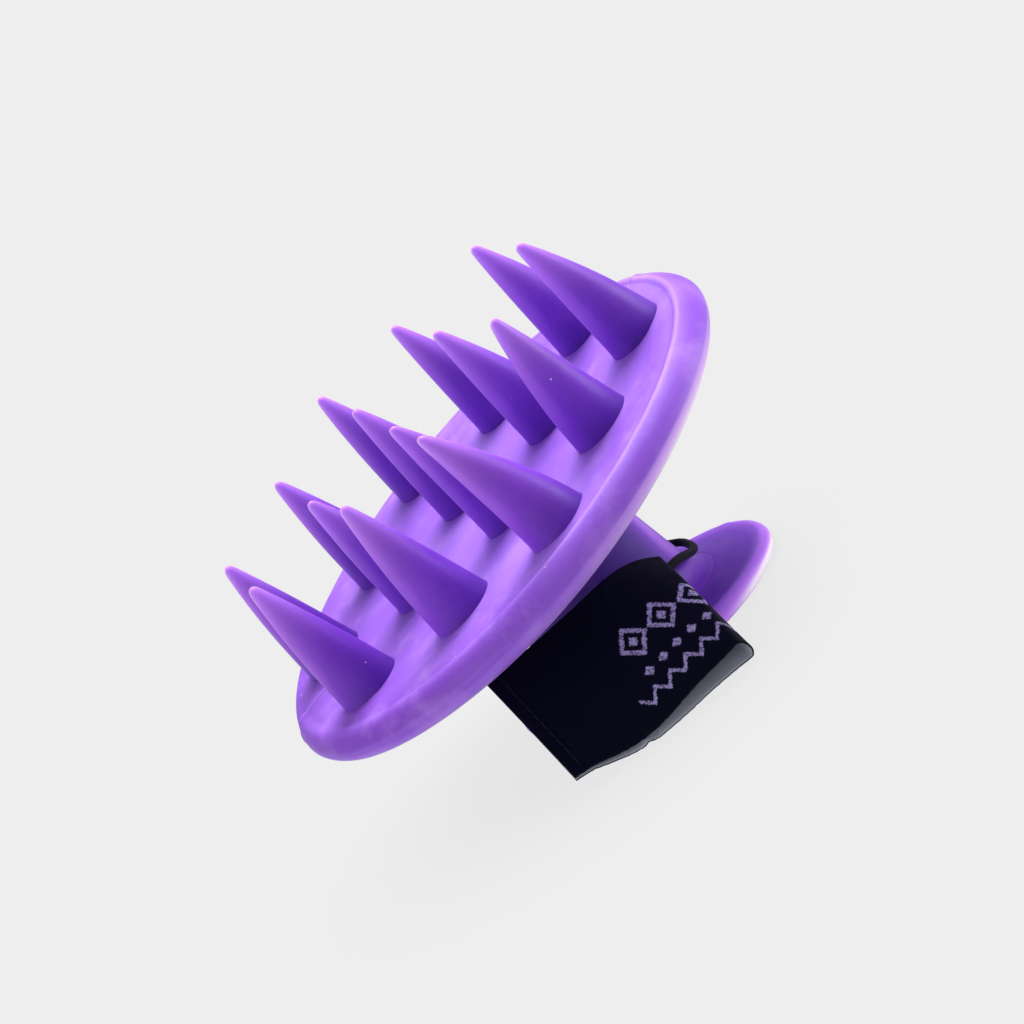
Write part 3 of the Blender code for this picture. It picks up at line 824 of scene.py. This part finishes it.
def braid_mesh(route, radius, sides=28):
    """A tube with the diamond crowns of a round braid; gives the mesh and its crowns."""
    frames = sweep_frames(route)
    rings = [[route[0]]]
    crowns = [0.0]
    travelled = 0.0
    for index, (place, side, up) in enumerate(frames):
        if index:
            travelled += (place - frames[index - 1][0]).length
        ring = []
        for angle in even_angles(sides):
            turn = math.tau * travelled / (BRAID_PITCH * BRAID_STRANDS / 2)
            left = abs(math.sin(BRAID_STRANDS / 2 * (angle + turn)))
            right = abs(math.sin(BRAID_STRANDS / 2 * (angle - turn)))
            crown = max(left, right)
            crowns.append(crown ** 3)
            reach = radius * (0.86 + 0.14 * crown)
            ring.append(place + (side * math.cos(angle) + up * math.sin(angle)) * reach)
        rings.append(ring)
    rings.append([route[-1]])
    crowns.append(0.0)
    mesh = bmesh.new()
    skin_of_rings(mesh, rings)
    bmesh.ops.recalc_face_normals(mesh, faces=mesh.faces)
    return mesh, crowns


def evenly(route, spacing):
    """The same route, with points a fixed distance apart."""
    points = [route[0]]
    carry = 0.0
    for a, b in zip(route, route[1:]):
        length = (b - a).length
        while carry + length >= spacing:
            share = (spacing - carry) / length
            a = a.lerp(b, share)
            length = (b - a).length
            points.append(a)
            carry = 0.0
        carry += length
    return points


def make_cord(material):
    route = evenly(smooth_line(cord_route(), 24), 0.16)
    mesh, crowns = braid_mesh(route, CORD_DIAMETER / 2)
    cord = add_piece("elastic_cord", mesh, Matrix.Identity(4), [material])
    set_numbers(cord, "crown", crowns)
    length = sum((b - a).length for a, b in zip(route, route[1:]))
    return cord, [p * MM for p in route], length * MM


def make_knot(name, centre, axis, radius, turns, material):
    """Wraps of cord side by side about an axis, as one winding."""
    axis = axis.normalized()
    side = axis.orthogonal().normalized()
    other = axis.cross(side)
    thick = CORD_DIAMETER * 0.46
    wrap = []
    count = turns * WRAP_STEPS
    for step in range(count + 1):
        angle = math.tau * step / WRAP_STEPS
        along = (step / count - 0.5) * turns * thick * 1.75
        wrap.append(centre + axis * along + (side * math.cos(angle) + other * math.sin(angle)) * radius)
    mesh, crowns = braid_mesh(evenly(wrap, 0.2), thick, 16)
    knot = add_piece(name, mesh, Matrix.Identity(4), [material])
    set_numbers(knot, "crown", crowns)
    return knot


# ---------------------------------------------------------------- label


LABEL_FINENESS = 16
UPPER_LINE = smooth_line(UPPER_SELVAGE, LABEL_FINENESS)
LOWER_LINE = smooth_line(LOWER_SELVAGE, LABEL_FINENESS)
DEPTH_LINE = smooth_line(LABEL_DEPTHS, LABEL_FINENESS)


def between(line, place):
    """A vector part way along a fine line; place counts the label's steps from the fold."""
    at = place * LABEL_FINENESS
    step = min(int(at), len(line) - 2)
    return line[step].lerp(line[step + 1], at - step)


def label_axes(share, place):
    """Point of the front face, direction to the fold, outward normal and label depth."""
    upper = between(UPPER_LINE, place)
    lower = between(LOWER_LINE, place)
    near = max(place - 0.6, 0.0)
    far = min(place + 0.6, len(UPPER_SELVAGE) - 1)
    upper_run = between(UPPER_LINE, near) - between(UPPER_LINE, far)
    lower_run = between(LOWER_LINE, near) - between(LOWER_LINE, far)
    ahead = upper_run.lerp(lower_run, share).normalized()
    normal = (lower - upper).cross(ahead).normalized()
    depths = between(DEPTH_LINE, place)
    depth = depths.x + (depths.y - depths.x) * share
    hump = 4.0 * share * (1.0 - share)
    point = upper.lerp(lower, share) + normal * LABEL_CROWN * hump
    return point, ahead, normal, depth


def label_line(share):
    """Middle line of the folded ribbon at a share of its width, from its free end."""
    half = RIBBON_THICKNESS / 2
    last = len(UPPER_SELVAGE) - 1
    across = share * RIBBON_WIDTH
    start = FOLD_STARTS[0] + (FOLD_STARTS[1] - FOLD_STARTS[0]) * share
    front = []
    back = []
    for step in range(RIBBON_STEPS + 1):
        place = start + (last - start) * step / RIBBON_STEPS
        point, _, normal, depth = label_axes(share, place)
        ripple = RIPPLE * noise.noise(Vector((across * 0.16, place * 0.5, 2.0)))
        turned = bell(place - TURN_UP_PLACE, TURN_UP_SPREAD) * (max(0.0, share - 0.7) / 0.3) ** 2
        tuck = Vector((TURN_UP_TUCK * turned, 0.0, 0.0))
        front.append(point + normal * (ripple - half + TURN_UP_RISE * turned) - tuck)
        ripple = BACK_RIPPLE * noise.noise(Vector((across * 0.2, place * 0.6, 6.0)))
        kink = KINK_RISE * bell(place - KINK_PLACE, KINK_SPREAD) * max(0.0, share - 0.8) / 0.2
        slip = BACK_SLIP * turned
        back.append(point - normal * (depth + ripple - half - kink + slip) + Vector((slip, 0.0, 0.0)))
    _, ahead, _, _ = label_axes(share, start)
    middle = front[0].lerp(back[0], 0.5)
    arm = front[0] - middle
    fold = []
    for step in range(1, FOLD_STEPS):
        angle = math.pi * step / FOLD_STEPS
        fold.append(middle + arm * math.cos(angle) + ahead * FOLD_REACH * math.sin(angle))
    return front[::-1] + fold + back


def in_slit(point):
    """Whether a point of the label lies in the opening that lets the cord in."""
    apart = point - SLIT_CENTRE
    apart.z -= SLIT_SLOPE * apart.x
    return all(abs(away) < size / 2 for away, size in zip(apart, SLIT_SIZE))


def make_label(outer, inner):
    """The folded ribbon, one sheet, with its selvages slightly uneven."""
    mesh = bmesh.new()
    across_layer = mesh.verts.layers.float.new("across")
    along_layer = mesh.verts.layers.float.new("along")
    grid = []
    lengths = []
    for column in range(RIBBON_COLUMNS + 1):
        share = column / RIBBON_COLUMNS
        line = label_line(share)
        edge = max(0.0, abs(share - 0.5) - 0.45) / 0.05
        travelled = 0.0
        verts = []
        for index, point in enumerate(line):
            if index:
                travelled += (point - line[index - 1]).length
            ragged = edge * RAGGED * noise.noise(Vector((travelled * 1.7, share * 3.0, 5.0)))
            vert = mesh.verts.new((point + Vector((ragged, 0.0, 0.0))) * MM)
            vert[across_layer] = share * RIBBON_WIDTH
            vert[along_layer] = travelled
            verts.append(vert)
        grid.append(verts)
        lengths.append(travelled)
    for left, right in zip(grid, grid[1:]):
        for a, b, c, d in zip(left, right, right[1:], left[1:]):
            if not in_slit((a.co + c.co) / (2 * MM)):
                mesh.faces.new((a, b, c, d))
    loose = [vert for vert in mesh.verts if not vert.link_faces]
    bmesh.ops.delete(mesh, geom=loose, context="VERTS")
    label = add_piece("woven_label", mesh, LABEL_FRAME, [outer, inner])
    solid = label.modifiers.new("cloth", "SOLIDIFY")
    solid.thickness = RIBBON_THICKNESS * MM
    solid.offset = 0.0
    solid.material_offset = 1
    solid.material_offset_rim = 0
    return label, sum(lengths) / len(lengths)


def make_seam(material):
    """Short stitches across the free end."""
    mesh = bmesh.new()
    crowns = []
    for stitch in range(STITCHES):
        start = SEAM_MARGIN + (1.0 - 2.0 * SEAM_MARGIN) * stitch / STITCHES
        route = []
        for share, lift in STITCH_LINE:
            point, _, normal, _ = label_axes(start + share, SEAM_PLACE)
            route.append(point + normal * lift)
        part, more = braid_mesh(smooth_line(route, 5), STITCH_RADIUS, 8)
        data = bpy.data.meshes.new("stitch")
        part.to_mesh(data)
        part.free()
        mesh.from_mesh(data)
        bpy.data.meshes.remove(data)
        crowns += more
    seam = add_piece("label_stitches", mesh, LABEL_FRAME, [material])
    set_numbers(seam, "crown", crowns)
    return seam


# ---------------------------------------------------------------- stage


def make_stage():
    """A pale floor that glows evenly, like a light table, with a painted contact shadow where the comb
    stands on it.
    """
    nodes = Nodes("pale_floor")
    tree = nodes.tree
    # Painted contact shadow: the floor darker where ambient occlusion finds the comb close.
    occlusion = nodes.add("ShaderNodeAmbientOcclusion", samples=8)
    occlusion.inputs["Distance"].default_value = 0.03
    seen_with_painted_shadow = nodes.mix(nodes.between(occlusion.outputs["AO"], 0.35, 1.0), PAPER_PAINTED_SHADOW, PAPER)
    path = nodes.add("ShaderNodeLightPath")
    glow = nodes.add("ShaderNodeEmission")
    light = nodes.mix(path.outputs["Is Camera Ray"], PAPER_LIGHT, seen_with_painted_shadow)
    nodes.link(light, glow.inputs["Color"])
    nodes.link(glow.outputs["Emission"], tree.nodes["Material Output"].inputs["Surface"])
    mesh = bmesh.new()
    bmesh.ops.create_grid(mesh, x_segments=4, y_segments=4, size=30.0)
    floor = add_piece("floor", mesh, Matrix.Identity(4), [nodes.material])


def make_world():
    world = bpy.data.worlds.new("studio")
    bpy.context.scene.world = world
    world.use_nodes = True
    tree = world.node_tree
    back = tree.nodes["Background"]
    path = tree.nodes.new("ShaderNodeLightPath")
    mix = tree.nodes.new("ShaderNodeMix")
    mix.data_type = "RGBA"
    mix.inputs[6].default_value = ROOM_LIGHT
    mix.inputs[7].default_value = PAPER
    tree.links.new(path.outputs["Is Camera Ray"], mix.inputs["Factor"])
    tree.links.new(mix.outputs[2], back.inputs["Color"])


def add_light(name, place, size, power):
    """A soft square lamp at a place in metres, aimed at the comb."""
    data = bpy.data.lights.new(name, "AREA")
    data.size = size
    data.energy = power
    lamp = bpy.data.objects.new(name, data)
    bpy.context.scene.collection.objects.link(lamp)
    lamp.location = place
    aim = LAMP_AIM - Vector(place)
    lamp.rotation_euler = aim.to_track_quat("-Z", "Y").to_euler()


def make_camera():
    data = bpy.data.cameras.new("camera")
    data.lens = CAMERA_LENS
    data.clip_start = 0.01
    camera = bpy.data.objects.new("camera", data)
    bpy.context.scene.collection.objects.link(camera)
    right = CAMERA_RIGHT.normalized()
    up = -CAMERA_DOWN.normalized()
    back = right.cross(up)
    turn = Matrix((right, up, back)).transposed().to_4x4()
    camera.matrix_world = Matrix.Translation(CAMERA_PLACE) @ turn
    bpy.context.scene.camera = camera


# ---------------------------------------------------------------- the scene


def make_silicone_pieces():
    light_violet = silicone("silicone_light", LIGHT_VIOLET, LIGHT_BLOOM)
    deep_violet = silicone("silicone_deep", DEEP_VIOLET, DEEP_BLOOM)
    claim(make_plate(light_violet), "silicone_light", "comb", "tooth_plate")
    make_teeth(deep_violet)
    claim(make_neck(deep_violet), "silicone_deep", "comb", "handle_neck")
    claim(make_knob(deep_violet), "silicone_deep", "comb", "finger_knob")


def make_cord_pieces(black):
    """The cord and its two knots; gives the cord, its knot, its path and its length."""
    cord, path, length = make_cord(black)
    claim(cord, "elastic_cord", "lead", "cord_loop", "cord_lead")
    knot = make_knot("cord_knot_wraps", KNOT_PLACE, KNOT_AXIS, KNOT_RADIUS, KNOT_TURNS, black)
    claim(knot, "elastic_cord", "lead", "cord_knot")
    bead_place = LABEL_FRAME @ (BEAD_IN_LABEL * MM) / MM
    bead = make_knot("stop_knot_wraps", bead_place, BEAD_AXIS, BEAD_RADIUS, BEAD_TURNS, black)
    claim(bead, "elastic_cord", "stop_knot", "cord_end_bead")
    return cord, knot, path, length


def make_label_pieces(black):
    navy = woven_satin("label_face", SATIN_NAVY, SATIN_LILAC)
    grey = woven_satin("label_inside", SATIN_GREY)
    label, label_run = make_label(navy, grey)
    claim(label, "woven_satin", "label", "label_ribbon")
    seam = make_seam(black)
    claim(seam, "thread", "label", "label_seam")


def main():
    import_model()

    make_camera()
    make_silicone_pieces()
    black = braided("elastic_braid", YARN_BLACK, YARN_CROWN)
    cord, knot, path, length = make_cord_pieces(black)
    make_label_pieces(black)

    make_stage()
    make_world()
    add_light("overhead", (-0.15, 0.18, 0.62), 0.40, 6.6)
    add_light("left_window", (0.22, -0.50, 0.16), 0.40, 1.3)
    add_light("right_window", (0.10, 0.50, 0.08), 0.25, 1.7)
    bpy.context.scene.view_settings.view_transform = "Standard"


main()
